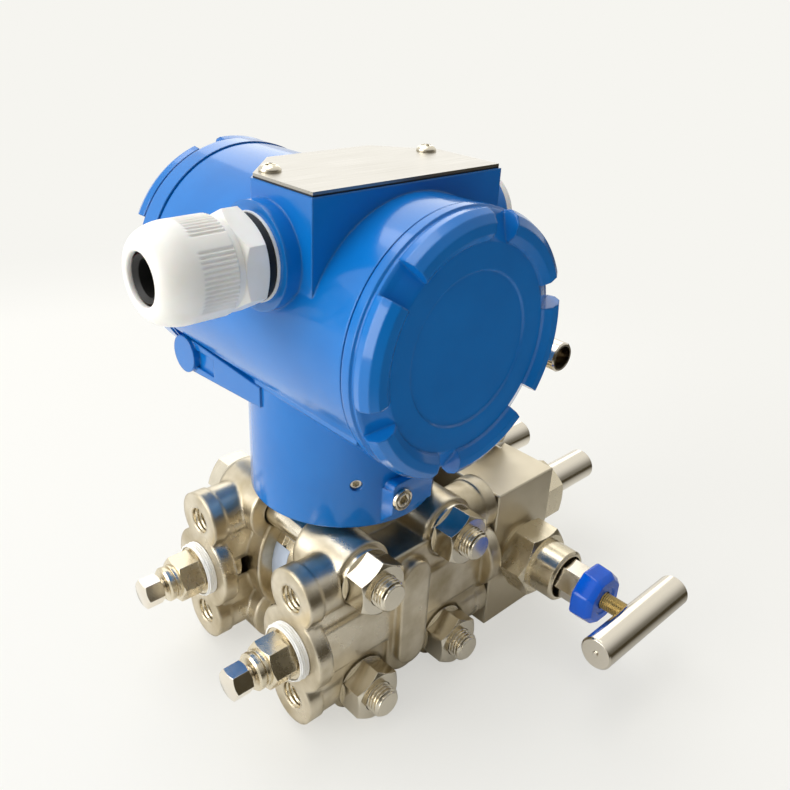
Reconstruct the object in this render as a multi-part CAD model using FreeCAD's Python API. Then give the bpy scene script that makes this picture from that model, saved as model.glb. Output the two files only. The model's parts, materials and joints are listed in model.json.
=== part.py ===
# Differential pressure transmitter with an integral three-valve manifold.
# Millimetres. The parts are drawn about the centre of the sensor capsule: X along the
# ports towards the manifold, Y from the front cover to the rear cover, Z up. Each part is then
# moved so that the origin is the centre of the four bracket holes on the flanges' end faces.

import FreeCAD
import Part
import math
import os

V = FreeCAD.Vector
X, Y, Z = V(1, 0, 0), V(0, 1, 0), V(0, 0, 1)

# Process flanges
port_spacing = 54.0            # between the two ports, along Y
hole_spacing = 41.3            # bracket and manifold holes above and below each port
flange_length = 87.0
end_plate = 5.5
port_lobe_r = 15.3             # three-lobed outline of the end plate
hole_lobe_r = 10.5
lobe_barrel_r = 9.9
web_thickness = 17.0
port_band = 9.5                # flat band along the port, half height
port_band_out = 10.0           # from the port axis
port_r = 9.2
port_depth = 14.0
passage_r = 4.0
thread_hole_r = 4.8
thread_hole_depth = 16.0
flange_ring_r = 30.0
flange_seat = 34.0             # bolt seat, from the middle of the capsule
boss_r = 11.5
spot_margin = 0.8              # spot face around each washer
spot_depth = 12.0
chamber_r = 16.0
chamber_depth = 2.0
pad_half_width = 6.5           # tall rounded pad between the nuts
pad_half_height = 22.0
pad_down = 1.3                 # its centre is this much below the port axis
pad_height = 13.0              # from the port axis
foot_half_width = 9.5
foot_half_height = 24.2
foot_down = 3.8
foot_height = 9.9

# Sensor capsule
capsule_r = 24.0
capsule_thickness = 22.0
stem_r = 10.5                  # between the flanges
neck_thread_r = 13.5           # inside the housing
seam_depth = 1.2               # turned grooves around the capsule
diaphragm_r = 14.0
diaphragm_t = 0.4
gasket_r = 21.0
gasket_width = 3.0
gasket_t = 2.0

# Through bolts
bolt_span_x = 40.0
bolt_span_z = 46.0
bolt_r = 5.4
bolt_hole_gap = 0.6
washer_r = 10.0
washer_t = 2.0
nut_flats = 17.5
nut_t = 8.6
bolt_tail = 5.0
bolt_chamfer = 1.0
head_t = 7.5

# Housing
housing_z = 103.5              # barrel axis above the port axis
barrel_front = 44.0
barrel_rear = 54.0
spigot_r = 35.0                # threaded part of a cover
spigot_slack = 0.4
barrel_wall = 4.0
mouth_r = spigot_r + spigot_slack
barrel_r = mouth_r + barrel_wall
mouth_depth = 13.0
room_step = 2.0
room_r = spigot_r - room_step
wall_y = 8.0                   # middle of the wall between the two rooms
wall_t = 5.0
neck_r = 32.5
neck_gap = 2.0                 # between the neck and the flange bosses
neck_bore_depth = 24.0
wire_r = 7.0
wire_rise = 8.0                # into the rooms
crown_rise = 2.7               # label seat above the barrel
crown_z = barrel_r + crown_rise
crown_half = 36.2
crown_front = 28.2
crown_back = 15.0
crown_corner = 16.0
conduit_y = -8.5
conduit_up = 22.8              # above the barrel axis
conduit_r = 15.3
conduit_left = barrel_r + 1.6
conduit_right = barrel_r + 8.1
conduit_bore_r = 10.2
rail_x = barrel_r - 6.5        # crease along one flank
rail_drop = 23.0               # below the barrel axis
rail_band = 3.0
rail_slope = 5.2
rail_rear = 5.0
arm_x = barrel_r - 6.2         # lock arm behind the rail
arm_nose_x = barrel_r - 4.8
arm_inner_x = 20.0
arm_drop = 27.0
arm_nose_r = 6.6
arm_nose_half = 6.1
arm_root_half = 3.4
arm_front = 2.0
arm_rear = 52.0
arm_groove = 3.0
arm_groove_x = barrel_r - 8.8
arm_pocket = (10.0, 6.5, 1.0)  # length, height, depth
lug_low_x = -9.2               # ground screw lug
lug_high_x = 8.3
lug_spread = 1.5
lug_face = 3.0                 # beyond the neck
lug_bottom = 5.5               # above the neck's lower end
lug_top = 16.5
lug_corner = 2.5
lug_root = 6.0
ground_x = -5.5
ground_up = 10.2
ground_r = 3.0
ground_ring_r = 3.9
ground_ring_t = 1.4
ground_length = 7.0
ground_key = 3.0
set_screw_turn = 33.0
set_screw_up = 16.0
set_screw_r = 2.0
set_screw_deep = 8.0
set_screw_key = 2.0

# Covers
cover_gap = 0.8
rear_extra = 4.5               # the rear cover is this much deeper
skirt_r = barrel_r + 0.4
skirt_t = 5.0
skirt_band = 3.0               # the widest part of the skirt
skirt_step = 0.7
face_r = spigot_r - 4.0
face_out = 9.6
dish_r = 22.9
dish_depth = 0.7
cover_wall = 3.4
spigot_length = 9.0
spigot_wall = 4.0
lug_count = 6
lug_angle = 45.0
lug_first = 25.5
lug_section_r = 4.8
lug_ring_r = skirt_r - lug_section_r + 0.2
lug_out = 7.4
lug_arc = 1.3                  # half turns in the lug's rounded section
lug_steps = 7
seal_section = 0.9
seal_gap = 0.3
seal_groove = 2.0
seal_down = 1.6
seal_room = 1.3

# Label plate
plate_t = 0.8
plate_inset = 0.6
label_gasket_t = 0.5
label_screw_half = 30.2
label_screw_y = -1.7
label_screw_r = 1.5
label_head_r = 3.2

# Inside the housing
terminal_half = 22.0
terminal_low = 20.0            # below the barrel axis
terminal_high = 2.0
terminal_depth = 13.0
terminal_pitch = 13.0
terminal_pocket = (5.0, 6.0, 4.0)  # half width, half height, floor thickness left
terminal_screw_r = 3.2
terminal_screw_t = 2.5
module_gap = 1.5
module_t = 19.0
module_bevel = 3.0

# Cable gland
gland_ring_t = 0.8
gland_washer_t = 2.4
gland_washer_r = 12.1
gland_hex = 25.0
gland_hex_t = 7.4
gland_collar_t = 1.8
gland_collar_r = 12.4
gland_length = 33.4
gland_nut_r = 13.6
gland_mouth_r = 7.0
gland_cage_r = 10.4
gland_cage_bore = 8.6
gland_seal_bore = 5.0
gland_shank = 9.0
gland_cage_back = 8.0          # cage end, behind the mouth
gland_floor = 2.0
gland_body_bore = 6.6
gland_dome_steps = ((0.0, 8.0), (0.9, 4.5), (2.9, 1.6), (5.2, 0.0))

# Blanking plug in the other entry
plug_washer_t = 1.5
plug_flange_r = 14.0
plug_flange_t = 3.2
plug_slot = 3.0
plug_slot_depth = 1.8
plug_bore_r = 7.5
plug_edge = 0.8

# Vent plugs
vent_tape_t = 3.0
vent_tape_r = 9.7
vent_hex = 14.5
vent_hex_t = 9.0
vent_collar_r = 6.3
vent_collar_t = 4.0
bleed_hex = 9.5
bleed_hex_t = 6.5
bleed_neck = 1.6
bleed_r = 2.6

# Manifold
manifold_gap = 1.0             # gasket between flange and block
block_depth = 32.6
block_half_width = 37.0
block_top = 27.0
block_bottom = -34.5
valve_z = -4.0
inlet_y = 18.0
block_chamfer = 0.5
balance_tilt = 30.0
balance_seat_in = 9.75         # from the outer face
balance_seat_up = 2.5          # from the top face
balance_boss_r = 11.3
balance_boss_t = 14.0
screw_r = 5.56
screw_sink = 1.0
screw_key = 6.0
screw_key_depth = 6.0
manifold_ring = 2.6

# Valves, outwards from the seat face
bonnet_base_r = 11.0
bonnet_base_t = 1.5
bonnet_hex = 25.0
bonnet_hex_t = 11.5
collar_r = 10.3
collar_t = 10.5
cup_r = 8.6
cup_depth = 8.0
bonnet_shank_r = 7.3
bonnet_shank = 11.0
gland_nut_flats = 13.5
cap_start = 32.5
cap_t = 8.5
cap_r = 11.0
cap_neck_r = 5.0
cap_bevel = 2.0
cap_hex = 1.84                 # flats, in cap radii
bar_out = 54.2
bar_r = 6.0
bar_half = 25.5
bar_edge = 0.6
bar_pip_r = 1.0
bar_bore_r = 4.8               # open ends of the balance valve's bar
bar_bore = 14.0
balance_bar_out = 43.3
balance_collar_cut = 3.0       # shorter collar and packing nut of that valve
balance_cap_cut = 8.5
stem_rod_r = 3.2
stem_top = 2.0
stem_tip = 13.0
stem_point = 3.0
stem_point_r = 1.2

# Inlet unions
union_body_flats = 20.0
union_body_t = 7.0
union_nut_flats = 23.0
union_nut_t = 15.0
tube_r = 6.8
tube_bore = 4.8
tube_sleeve_r = 7.2            # inside the nut
sleeve_r = 8.4                 # where the tube meets the union
sleeve_t = 4.0
tube_reach = 128.0
union_shank_r = 8.8
union_shank = 7.6

# Clearances
thread_gap = 0.15              # fixed screw joints
running_gap = 0.06             # stems that turn or slide in a bore
slip_gap = 0.3                 # other moving pieces


def rod(radius, start, end):
    a, b = V(*start), V(*end)
    return Part.makeCylinder(radius, (b - a).Length, a, b - a)


def block(low, high):
    return Part.makeBox(high[0] - low[0], high[1] - low[1], high[2] - low[2], V(*low))


def side_of(axis):
    return Z if abs(axis.z) < 0.9 else X


def prism(points, height):
    wire = Part.makePolygon([V(*p) for p in points + points[:1]])
    return Part.Face(wire).extrude(V(*height))


def spin(profile, start, axis, angle=360.0, first=0.0):
    """Turned solid: profile holds (radius, distance along the axis)."""
    origin, axis = V(*start), V(*axis).normalize()
    across = side_of(axis)
    wire = Part.makePolygon([origin + axis * s + across * r for r, s in profile + profile[:1]])
    solid = Part.Face(wire).revolve(origin, axis, angle)
    solid.rotate(origin, axis, first)
    return solid


def hexagon(flats, start, end, corner=None):
    a, b = V(*start), V(*end)
    axis = (b - a).normalize()
    u = corner or side_of(axis)
    w = axis.cross(u)
    radius = flats / math.sqrt(3)
    turns = [math.radians(60 * k) for k in range(6)]
    points = [a + u * (radius * math.cos(t)) + w * (radius * math.sin(t)) for t in turns]
    return Part.Face(Part.makePolygon(points + points[:1])).extrude(b - a)


def nut_form(flats, start, end, corner=None, chamfers=(True, True)):
    """Hexagon with its corners turned off at either end."""
    a, b = V(*start), V(*end)
    length = (b - a).Length
    outer = flats / math.sqrt(3) + 0.01
    inner = flats / 2 * 0.98
    drop = (outer - inner) * math.tan(math.radians(30))
    profile = [(0, 0), (inner, 0), (outer, drop)] if chamfers[0] else [(0, 0), (outer, 0)]
    profile += [(outer, length - drop), (inner, length)] if chamfers[1] else [(outer, length)]
    return hexagon(flats, start, end, corner).common(spin(profile + [(0, length)], start, tuple(b - a)))


def join(shapes):
    solid = shapes[0].fuse(shapes[1:]) if len(shapes) > 1 else shapes[0]
    return solid.removeSplitter()


def group(shapes):
    return Part.makeCompound(shapes)


def half_turn(shape):
    turned = shape.copy()
    turned.rotate(V(0, 0, 0), Z, 180)
    return turned


# ---- Process flanges, capsule and through bolts

half = flange_length / 2
port_y = port_spacing / 2
hole_z = hole_spacing / 2
ring_face = capsule_thickness / 2
bolt_places = [(x, z) for x in (-bolt_span_x / 2, bolt_span_x / 2)
               for z in (-bolt_span_z / 2, bolt_span_z / 2)]


def end_outline(x, thickness):
    lobes = [rod(port_lobe_r, (x, -port_y, 0), (x + thickness, -port_y, 0))]
    for z in (-hole_z, hole_z):
        lobes.append(rod(hole_lobe_r, (x, -port_y, z), (x + thickness, -port_y, z)))
    return join(lobes)


def rounded_pad(half_width, half_height, down, y_from, y_to):
    low, high = half_width - half_height - down, half_height - half_width - down
    ends = [rod(half_width, (0, y_from, z), (0, y_to, z)) for z in (low, high)]
    return join(ends + [block((-half_width, y_to, low), (half_width, y_from, high))])


def flange_casting():
    web_in = -(port_y - web_thickness / 2)
    web_out = -(port_y + web_thickness / 2)
    solids = [
        end_outline(-half, end_plate),
        end_outline(half - end_plate, end_plate),
        block((-half + end_plate / 2, -port_y - port_band_out, -port_band),
              (half - end_plate / 2, web_in, port_band)),
        block((-half + end_plate / 2, web_out, -hole_z), (half - end_plate / 2, web_in, hole_z)),
        rod(flange_ring_r, (0, -ring_face, 0), (0, web_in - 1, 0)),
        block((-bolt_span_x / 2, web_out, -bolt_span_z / 2), (bolt_span_x / 2, web_in, bolt_span_z / 2)),
        rounded_pad(foot_half_width, foot_half_height, foot_down, web_in, -port_y - foot_height),
        rounded_pad(pad_half_width, pad_half_height, pad_down, web_in, -port_y - pad_height),
    ]
    for z in (-hole_z, hole_z):
        for side in (-1, 1):
            solids.append(rod(lobe_barrel_r, (side * half, -port_y, z), (side * bolt_span_x / 2, -port_y, z)))
    for x, z in bolt_places:
        solids.append(rod(boss_r, (x, -ring_face - 1, z), (x, -flange_seat, z)))
    return join(solids)


def flange_holes(manifold_side):
    cuts = []
    for side in (-1, 1):
        end = side * half
        cuts.append(rod(port_r, (end, -port_y, 0), (end - side * port_depth, -port_y, 0)))
        hole_r = screw_r + thread_gap if side == manifold_side else thread_hole_r
        for z in (-hole_z, hole_z):
            cuts.append(rod(hole_r, (end, -port_y, z), (end - side * thread_hole_depth, -port_y, z)))
    cuts.append(rod(passage_r, (-half, -port_y, 0), (half, -port_y, 0)))
    cuts.append(rod(passage_r, (0, -port_y, 0), (0, -ring_face, 0)))
    cuts.append(rod(chamber_r, (0, -ring_face - chamber_depth, 0), (0, -ring_face, 0)))
    groove_y = -ring_face - gasket_t
    groove = rod(gasket_r + thread_gap, (0, groove_y, 0), (0, -ring_face, 0))
    cuts.append(groove.cut(rod(gasket_r - gasket_width - thread_gap, (0, groove_y, 0), (0, -ring_face, 0))))
    for x, z in bolt_places:
        cuts.append(rod(bolt_r + bolt_hole_gap, (x, -flange_seat - 1, z), (x, -ring_face, z)))
        cuts.append(rod(washer_r + spot_margin, (x, -flange_seat - spot_depth, z), (x, -flange_seat, z)))
    return cuts


def flanges():
    casting = flange_casting()
    return {"front_flange": casting.cut(flange_holes(1)),
            "rear_flange": half_turn(casting.cut(flange_holes(-1)))}


def capsule():
    t = ring_face
    profile = [(0, -t), (capsule_r, -t)]
    for s in (-t * 0.6, t * 0.6):
        profile += [(capsule_r, s - seam_depth), (capsule_r - seam_depth, s), (capsule_r, s + seam_depth)]
    profile += [(capsule_r, t), (0, t)]
    body = spin(profile, (0, 0, 0), (0, 1, 0))
    neck_bottom = boss_r + bolt_span_z / 2 + neck_gap
    body = join([body, rod(stem_r, (0, 0, 0), (0, 0, neck_bottom)),
                 rod(neck_thread_r, (0, 0, neck_bottom + 0.5), (0, 0, neck_bottom + neck_bore_depth - 2))])
    seats = [rod(diaphragm_r + thread_gap, (0, s * t, 0), (0, s * (t - diaphragm_t), 0)) for s in (-1, 1)]
    body = body.cut(seats)
    discs = []
    rings = []
    for s in (-1, 1):
        face = (0, s * t, 0)
        discs.append(rod(diaphragm_r, (0, s * (t - diaphragm_t), 0), face))
        outer = rod(gasket_r, face, (0, s * (t + gasket_t - 0.1), 0))
        rings.append(outer.cut(rod(gasket_r - gasket_width, face, (0, s * (t + gasket_t), 0))))
    return {"sensor_capsule": body, "isolating_diaphragms": group(discs), "flange_gaskets": group(rings)}


def through_bolts():
    bolts, nuts, washers = [], [], []
    seat = flange_seat + washer_t
    for x, z in bolt_places:
        tip = -(seat + nut_t + bolt_tail)
        shank = spin([(0, 0), (bolt_r - bolt_chamfer, 0), (bolt_r, bolt_chamfer), (bolt_r, seat - tip),
                      (0, seat - tip)], (x, tip, z), (0, 1, 0))
        head = nut_form(nut_flats, (x, seat, z), (x, seat + head_t, z), chamfers=(False, True))
        bolts.append(join([shank, head]))
        nut = nut_form(nut_flats, (x, -seat, z), (x, -seat - nut_t, z), chamfers=(False, True))
        nuts.append(nut.cut(rod(bolt_r + thread_gap, (x, 0, z), (x, tip, z))))
        for side in (-1, 1):
            ring = rod(washer_r, (x, side * flange_seat, z), (x, side * seat, z))
            washers.append(ring.cut(rod(bolt_r + bolt_hole_gap, (x, 0, z), (x, side * (seat + 1), z))))
    return {"through_bolts": group(bolts), "through_bolt_nuts": group(nuts),
            "through_bolt_washers": group(washers)}


# ---- Vent plugs on the free ends of the flanges

def vent_plug(y):
    x0 = -half - vent_tape_t
    x1 = x0 - vent_hex_t
    x2 = x1 - vent_collar_t
    hex_part = nut_form(vent_hex, (x0, y, 0), (x1, y, 0))
    collar = rod(vent_collar_r, (x1, y, 0), (x2, y, 0))
    shank = rod(port_r - thread_gap, (-half + port_depth - 3, y, 0), (x0, y, 0))
    bore = rod(bleed_r + running_gap, (-half + port_depth, y, 0), (x2 - 1, y, 0))
    body = join([hex_part, collar, shank]).cut(bore)
    x3 = x2 - bleed_neck
    cap = nut_form(bleed_hex, (x3, y, 0), (x3 - bleed_hex_t, y, 0))
    screw = join([cap, rod(bleed_r, (x1 + 2, y, 0), (x3, y, 0))])
    ring = rod(vent_tape_r, (-half, y, 0), (x0, y, 0))
    tape = ring.cut(rod(port_r, (-half, y, 0), (x0, y, 0)))
    return body, screw, tape


def vents():
    front, rear = vent_plug(-port_y), vent_plug(port_y)
    return {"front_vent_plug": front[0], "front_bleed_screw": front[1], "rear_vent_plug": rear[0],
            "rear_bleed_screw": rear[1], "thread_tape_rings": group([front[2], rear[2]])}


# ---- Housing

neck_z = boss_r + bolt_span_z / 2 + neck_gap
label_z = housing_z + crown_z
conduit_z = housing_z + conduit_up
label_screw_x = (-label_screw_half, label_screw_half)


def crown_plan(inset):
    low, high = inset - crown_half, crown_half - inset
    f = -crown_front + inset
    b = crown_back - inset
    c = crown_corner - inset * 0.4
    return [(low, f), (high, f), (high, b - c), (high - c, b), (low + c, b), (low, b - c)]


def housing_body():
    barrel = rod(barrel_r, (0, -barrel_front, housing_z), (0, barrel_rear, housing_z))
    neck = rod(neck_r, (0, 0, neck_z), (0, 0, housing_z))
    crown = prism([(x, y, housing_z) for x, y in crown_plan(0)], (0, 0, crown_z))
    conduit = rod(conduit_r, (-conduit_left, conduit_y, conduit_z), (conduit_right, conduit_y, conduit_z))
    grooved = barrel.cut(arm_groove_form())
    return join([grooved, neck, crown, conduit, ground_lug(), rail_form(), arm_form()])


def ground_lug():
    """Lug with rounded upper corners and a sloping underside."""
    face, root = -neck_r - lug_face, -neck_r + lug_root
    low, high = neck_z + lug_bottom, neck_z + lug_top
    plan = prism([(lug_low_x, face, neck_z), (lug_high_x, face, neck_z),
                  (lug_high_x + lug_spread, root, neck_z), (lug_low_x - lug_spread, root, neck_z)],
                 (0, 0, lug_top))
    wide_low, wide_high = lug_low_x - lug_spread, lug_high_x + lug_spread
    side = prism([(wide_low, face, low), (wide_low, face, high), (wide_low, root, high),
                  (wide_low, root, neck_z), (wide_low, face + lug_bottom, neck_z)],
                 (wide_high - wide_low, 0, 0))
    left, right = lug_low_x + lug_corner, lug_high_x - lug_corner
    shoulder = high - lug_corner
    front = [block((wide_low, face, neck_z), (wide_high, root, shoulder)),
             block((left, face, shoulder), (right, root, high))]
    front += [rod(lug_corner, (x, face, shoulder), (x, root, shoulder)) for x in (left, right)]
    return plan.common(side).common(join(front))


def rail_form():
    """Crease along the barrel's flank, with its lower face sloping into the barrel."""
    z = housing_z - rail_drop
    inner = -rail_x + rail_slope
    deep = inner + rail_slope
    return prism([(-rail_x, -barrel_front, z + rail_band), (-rail_x, -barrel_front, z),
                  (inner, -barrel_front, z - rail_slope), (deep, -barrel_front, z - rail_slope),
                  (deep, -barrel_front, z + rail_band)], (0, barrel_front + rail_rear, 0))


def arm_form():
    z = housing_z - arm_drop
    nose = arm_rear - arm_nose_r
    outline = [(arm_front, z - arm_root_half), (nose, z - arm_nose_half), (nose, z + arm_nose_half),
               (arm_front, z + arm_root_half)]
    arm = prism([(-arm_x, y, h) for y, h in outline], (arm_x - arm_inner_x, 0, 0))
    length, height, depth = arm_pocket
    front = nose - arm_nose_r - length
    pocket = block((-arm_x, front, z - height / 2), (-arm_x + depth, nose, z + height / 2))
    return join([arm.cut(pocket), rod(arm_nose_r, (-arm_nose_x, nose, z), (-arm_inner_x, nose, z))])


def arm_groove_form():
    """Tapering groove between the lock arm and the barrel."""
    z = housing_z - arm_drop
    outline = [(rail_rear, z), (rail_rear, z + arm_root_half + arm_groove / 2),
               (arm_rear, z + arm_nose_r + arm_groove / 2), (arm_rear, z)]
    return prism([(-barrel_r, y, h) for y, h in outline], (barrel_r - arm_groove_x, 0, 0))


def housing_cuts():
    wall_front, wall_back = wall_y - wall_t / 2, wall_y + wall_t / 2
    cuts = [
        rod(room_r, (0, -barrel_front, housing_z), (0, wall_front, housing_z)),
        rod(room_r, (0, wall_back, housing_z), (0, barrel_rear, housing_z)),
        rod(mouth_r, (0, -barrel_front, housing_z), (0, -barrel_front + mouth_depth, housing_z)),
        rod(mouth_r, (0, barrel_rear, housing_z), (0, barrel_rear - mouth_depth, housing_z)),
        rod(neck_thread_r + thread_gap, (0, 0, neck_z), (0, 0, neck_z + neck_bore_depth)),
        rod(wire_r, (0, 0, neck_z), (0, 0, housing_z - room_r + wire_rise)),
    ]
    for end in (-conduit_left, conduit_right):
        cuts.append(rod(conduit_bore_r, (end, conduit_y, conduit_z), (0, conduit_y, conduit_z)))
    for x in label_screw_x:
        cuts.append(rod(label_screw_r, (x, label_screw_y, label_z), (x, label_screw_y, label_z - 6)))
    cuts += [hole for hole, screw in (ground_screw(), set_screw())]
    return cuts


def ground_screw():
    face, z = -neck_r - lug_face, neck_z + ground_up
    outer = face - ground_ring_t
    hole = rod(ground_r, (ground_x, face, z), (ground_x, face + ground_length + 1, z))
    ring = rod(ground_ring_r, (ground_x, face, z), (ground_x, outer, z))
    shank = rod(ground_r - thread_gap, (ground_x, face, z), (ground_x, face + ground_length, z))
    key = hexagon(ground_key, (ground_x, outer, z), (ground_x, face + ground_key / 2, z))
    return hole, join([ring, shank]).cut(key)


def set_screw():
    turn = math.radians(set_screw_turn)
    out = V(-math.sin(turn), -math.cos(turn), 0)
    level = V(0, 0, neck_z + set_screw_up)
    deep, near, key, clear = [tuple(out * (neck_r - d) + level)
                              for d in (set_screw_deep, set_screw_r / 2, set_screw_r * 1.5, -set_screw_r)]
    hole = rod(set_screw_r, deep, clear)
    screw = rod(set_screw_r - thread_gap, deep, near)
    return hole, screw.cut(hexagon(set_screw_key, key, near))


def housing():
    return {"housing": housing_body().cut(housing_cuts()), "ground_screw": ground_screw()[1],
            "neck_set_screw": set_screw()[1]}


def label_plate():
    holes = [rod(label_screw_r + slip_gap, (x, label_screw_y, label_z), (x, label_screw_y, label_z + 5))
             for x in label_screw_x]
    z1 = label_z + label_gasket_t
    z2 = z1 + plate_t
    gasket = prism([(x, y, label_z) for x, y in crown_plan(plate_inset)], (0, 0, label_gasket_t))
    plate = prism([(x, y, z1) for x, y in crown_plan(plate_inset)], (0, 0, plate_t))
    screws = []
    head = [(0, 0), (label_head_r, 0), (label_head_r, 0.8), (label_head_r * 0.7, 1.9), (0, 2.2)]
    for x in label_screw_x:
        top = spin(head, (x, label_screw_y, z2), (0, 0, 1))
        shank = rod(label_screw_r - thread_gap, (x, label_screw_y, label_z - 5), (x, label_screw_y, z2))
        screws.append(join([top, shank]))
    return {"nameplate": plate.cut(holes), "nameplate_gasket": gasket.cut(holes),
            "nameplate_screws": group(screws)}


# ---- Covers

def cover_form(extra):
    """Cover drawn along +Z from the end of the barrel, which is at zero."""
    rim = cover_gap + skirt_t + extra
    top = face_out + extra
    dish = top - dish_depth
    groove_r = spigot_r - seal_groove
    seat, back = -seal_down - seal_room, -seal_down + seal_room
    band = cover_gap + skirt_band + extra
    inner_r = skirt_r - skirt_step
    outer = [(skirt_r, cover_gap), (skirt_r, band), (inner_r, band + skirt_step / 2), (inner_r, rim - 0.6),
             (inner_r - 0.8, rim), (lug_ring_r + 1.2, rim + 0.9), (face_r + 0.9, top - 0.4), (face_r, top),
             (dish_r + 0.5, top), (dish_r, dish), (0, dish)]
    inner = [(0, dish - cover_wall), (spigot_r - spigot_wall, dish - cover_wall),
             (spigot_r - spigot_wall, -spigot_length)]
    spigot = [(spigot_r, -spigot_length), (spigot_r, seat), (groove_r, seat), (groove_r, back),
              (spigot_r, back), (spigot_r, cover_gap)]
    body = spin(outer + inner + spigot, (0, 0, 0), (0, 0, 1))
    turns = [math.pi * (lug_arc * k / lug_steps - (lug_arc - 1) / 2) for k in range(lug_steps + 1)]
    section = [(lug_ring_r + lug_section_r * math.cos(t), lug_out + extra + lug_section_r * math.sin(t))
               for t in turns]
    lugs = [spin(section, (0, 0, 0), (0, 0, 1), lug_angle, lug_first + k * 360.0 / lug_count)
            for k in range(lug_count)]
    return join([body] + lugs)


def seal_form():
    ring_r = spigot_r - seal_groove + seal_gap + seal_section
    return Part.makeTorus(ring_r, seal_section, V(0, 0, -seal_down), Z)


def covers():
    parts = {}
    ends = (("front", -barrel_front, 90, 0.0), ("rear", barrel_rear, -90, rear_extra))
    for name, place, angle, extra in ends:
        for node, form in (("cover", cover_form(extra)), ("cover_seal", seal_form())):
            form.rotate(V(0, 0, 0), X, angle)
            form.translate(V(0, place, housing_z))
            parts[name + "_" + node] = form
    return parts


# ---- Inside the housing

def electronics():
    wall_front, wall_back = wall_y - wall_t / 2, wall_y + wall_t / 2
    low, high = housing_z - terminal_low, housing_z + terminal_high
    outer = wall_front - terminal_depth
    terminals = block((-terminal_half, outer, low), (terminal_half, wall_front, high))
    wide, tall, floor = terminal_pocket
    z = (low + high) / 2
    screws, cuts = [], []
    for x in (-terminal_pitch, 0, terminal_pitch):
        seat = outer + floor
        cuts.append(block((x - wide, outer, z - tall), (x + wide, seat, z + tall)))
        screws.append(rod(terminal_screw_r, (x, seat - terminal_screw_t, z), (x, seat, z)))
    module = spin([(0, 0), (room_r - module_gap, 0), (room_r - module_gap, module_t - module_bevel),
                   (room_r - module_gap - module_bevel, module_t), (0, module_t)],
                  (0, wall_back, housing_z), (0, 1, 0))
    return {"terminal_block": terminals.cut(cuts), "terminal_screws": group(screws),
            "electronics_module": module}


# ---- Cable gland and blanking plug

def gland_forms():
    """Gland drawn along +Z from the conduit's end face, which is at zero."""
    a = gland_ring_t
    b = a + gland_washer_t
    c = b + gland_hex_t
    d = c + gland_collar_t
    top = gland_length
    cage_end = top - gland_cage_back
    ring_r = gland_washer_r + 0.4
    ring = rod(ring_r, (0, 0, 0), (0, 0, a)).cut(rod(conduit_bore_r, (0, 0, 0), (0, 0, a)))
    washer = rod(gland_washer_r, (0, 0, a), (0, 0, b)).cut(rod(conduit_bore_r, (0, 0, a), (0, 0, b)))
    shank = conduit_bore_r - thread_gap
    turned = spin([(gland_body_bore, -gland_shank), (shank, -gland_shank), (shank, c), (gland_collar_r, c),
                   (gland_collar_r, d), (gland_cage_r, d), (gland_cage_r, cage_end),
                   (gland_cage_bore, cage_end), (gland_cage_bore, d + gland_floor),
                   (gland_body_bore, d + gland_floor)], (0, 0, 0), (0, 0, 1))
    hex_part = nut_form(gland_hex, (0, 0, b), (0, 0, c)).cut(rod(shank - 1, (0, 0, b), (0, 0, c)))
    n = d + slip_gap
    inner = gland_cage_r + slip_gap
    crest = [(gland_nut_r - drop, top - back) for drop, back in gland_dome_steps]
    dome = spin([(inner, n), (gland_nut_r - 0.8, n), (gland_nut_r, n + 0.8)] + crest
                + [(gland_mouth_r, top), (gland_mouth_r, top - 1.5), (inner, top - 6)], (0, 0, 0), (0, 0, 1))
    seal_r = gland_cage_bore - slip_gap
    foot = d + 2 * gland_floor
    seal = spin([(gland_seal_bore, foot), (seal_r, foot), (seal_r, top - 5),
                 (gland_mouth_r - slip_gap, top - 2.2), (gland_mouth_r - 0.8, top - 1.2),
                 (gland_seal_bore, top - 2.4)], (0, 0, 0), (0, 0, 1))
    return {"gland_ring": ring, "gland_washer": washer, "gland_body": join([turned, hex_part]),
            "gland_nut": dome, "gland_seal": seal}


def plug_forms():
    """Blanking plug drawn along +Z from the conduit's end face, which is at zero."""
    a = plug_washer_t
    top = a + plug_flange_t
    washer = rod(plug_flange_r - 1.2, (0, 0, 0), (0, 0, a)).cut(rod(conduit_bore_r, (0, 0, 0), (0, 0, a)))
    shank = conduit_bore_r - thread_gap
    body = spin([(0, a), (plug_flange_r, a), (plug_flange_r, top - plug_edge),
                 (plug_flange_r - plug_edge, top), (0, top)], (0, 0, 0), (0, 0, 1))
    body = join([body, rod(shank, (0, 0, -gland_shank), (0, 0, a))])
    slot = block((-plug_flange_r, -plug_slot / 2, top - plug_slot_depth), (plug_flange_r, plug_slot / 2, top))
    hollow = rod(plug_bore_r, (0, 0, -gland_shank), (0, 0, 0))
    return {"plug_washer": washer, "plug_body": body.cut([slot, hollow])}


def entries():
    parts = {}
    for forms, end, angle in ((gland_forms(), -conduit_left, -90), (plug_forms(), conduit_right, 90)):
        for node, form in forms.items():
            form.rotate(V(0, 0, 0), Y, angle)
            form.translate(V(end, conduit_y, conduit_z))
            parts[node] = form
    return parts


# ---- Manifold

block_x = half + manifold_gap
block_end = block_x + block_depth
block_mid = block_x + block_depth / 2
tilt = math.radians(balance_tilt)
valve_places = {
    "front_valve": (V(block_mid, -block_half_width, valve_z), V(0, -1, 0), X),
    "rear_valve": (V(block_mid, block_half_width, valve_z), V(0, 1, 0), X),
    "balance_valve": (V(block_end - balance_seat_in, 0, block_top + balance_seat_up),
                      V(math.sin(tilt), 0, math.cos(tilt)), Y),
}


def placed(shape, seat, outward, bar):
    turned = shape.copy()
    turned.Placement = FreeCAD.Placement(seat, FreeCAD.Rotation(bar, outward.cross(bar), outward, "ZXY"))
    return turned


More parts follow.
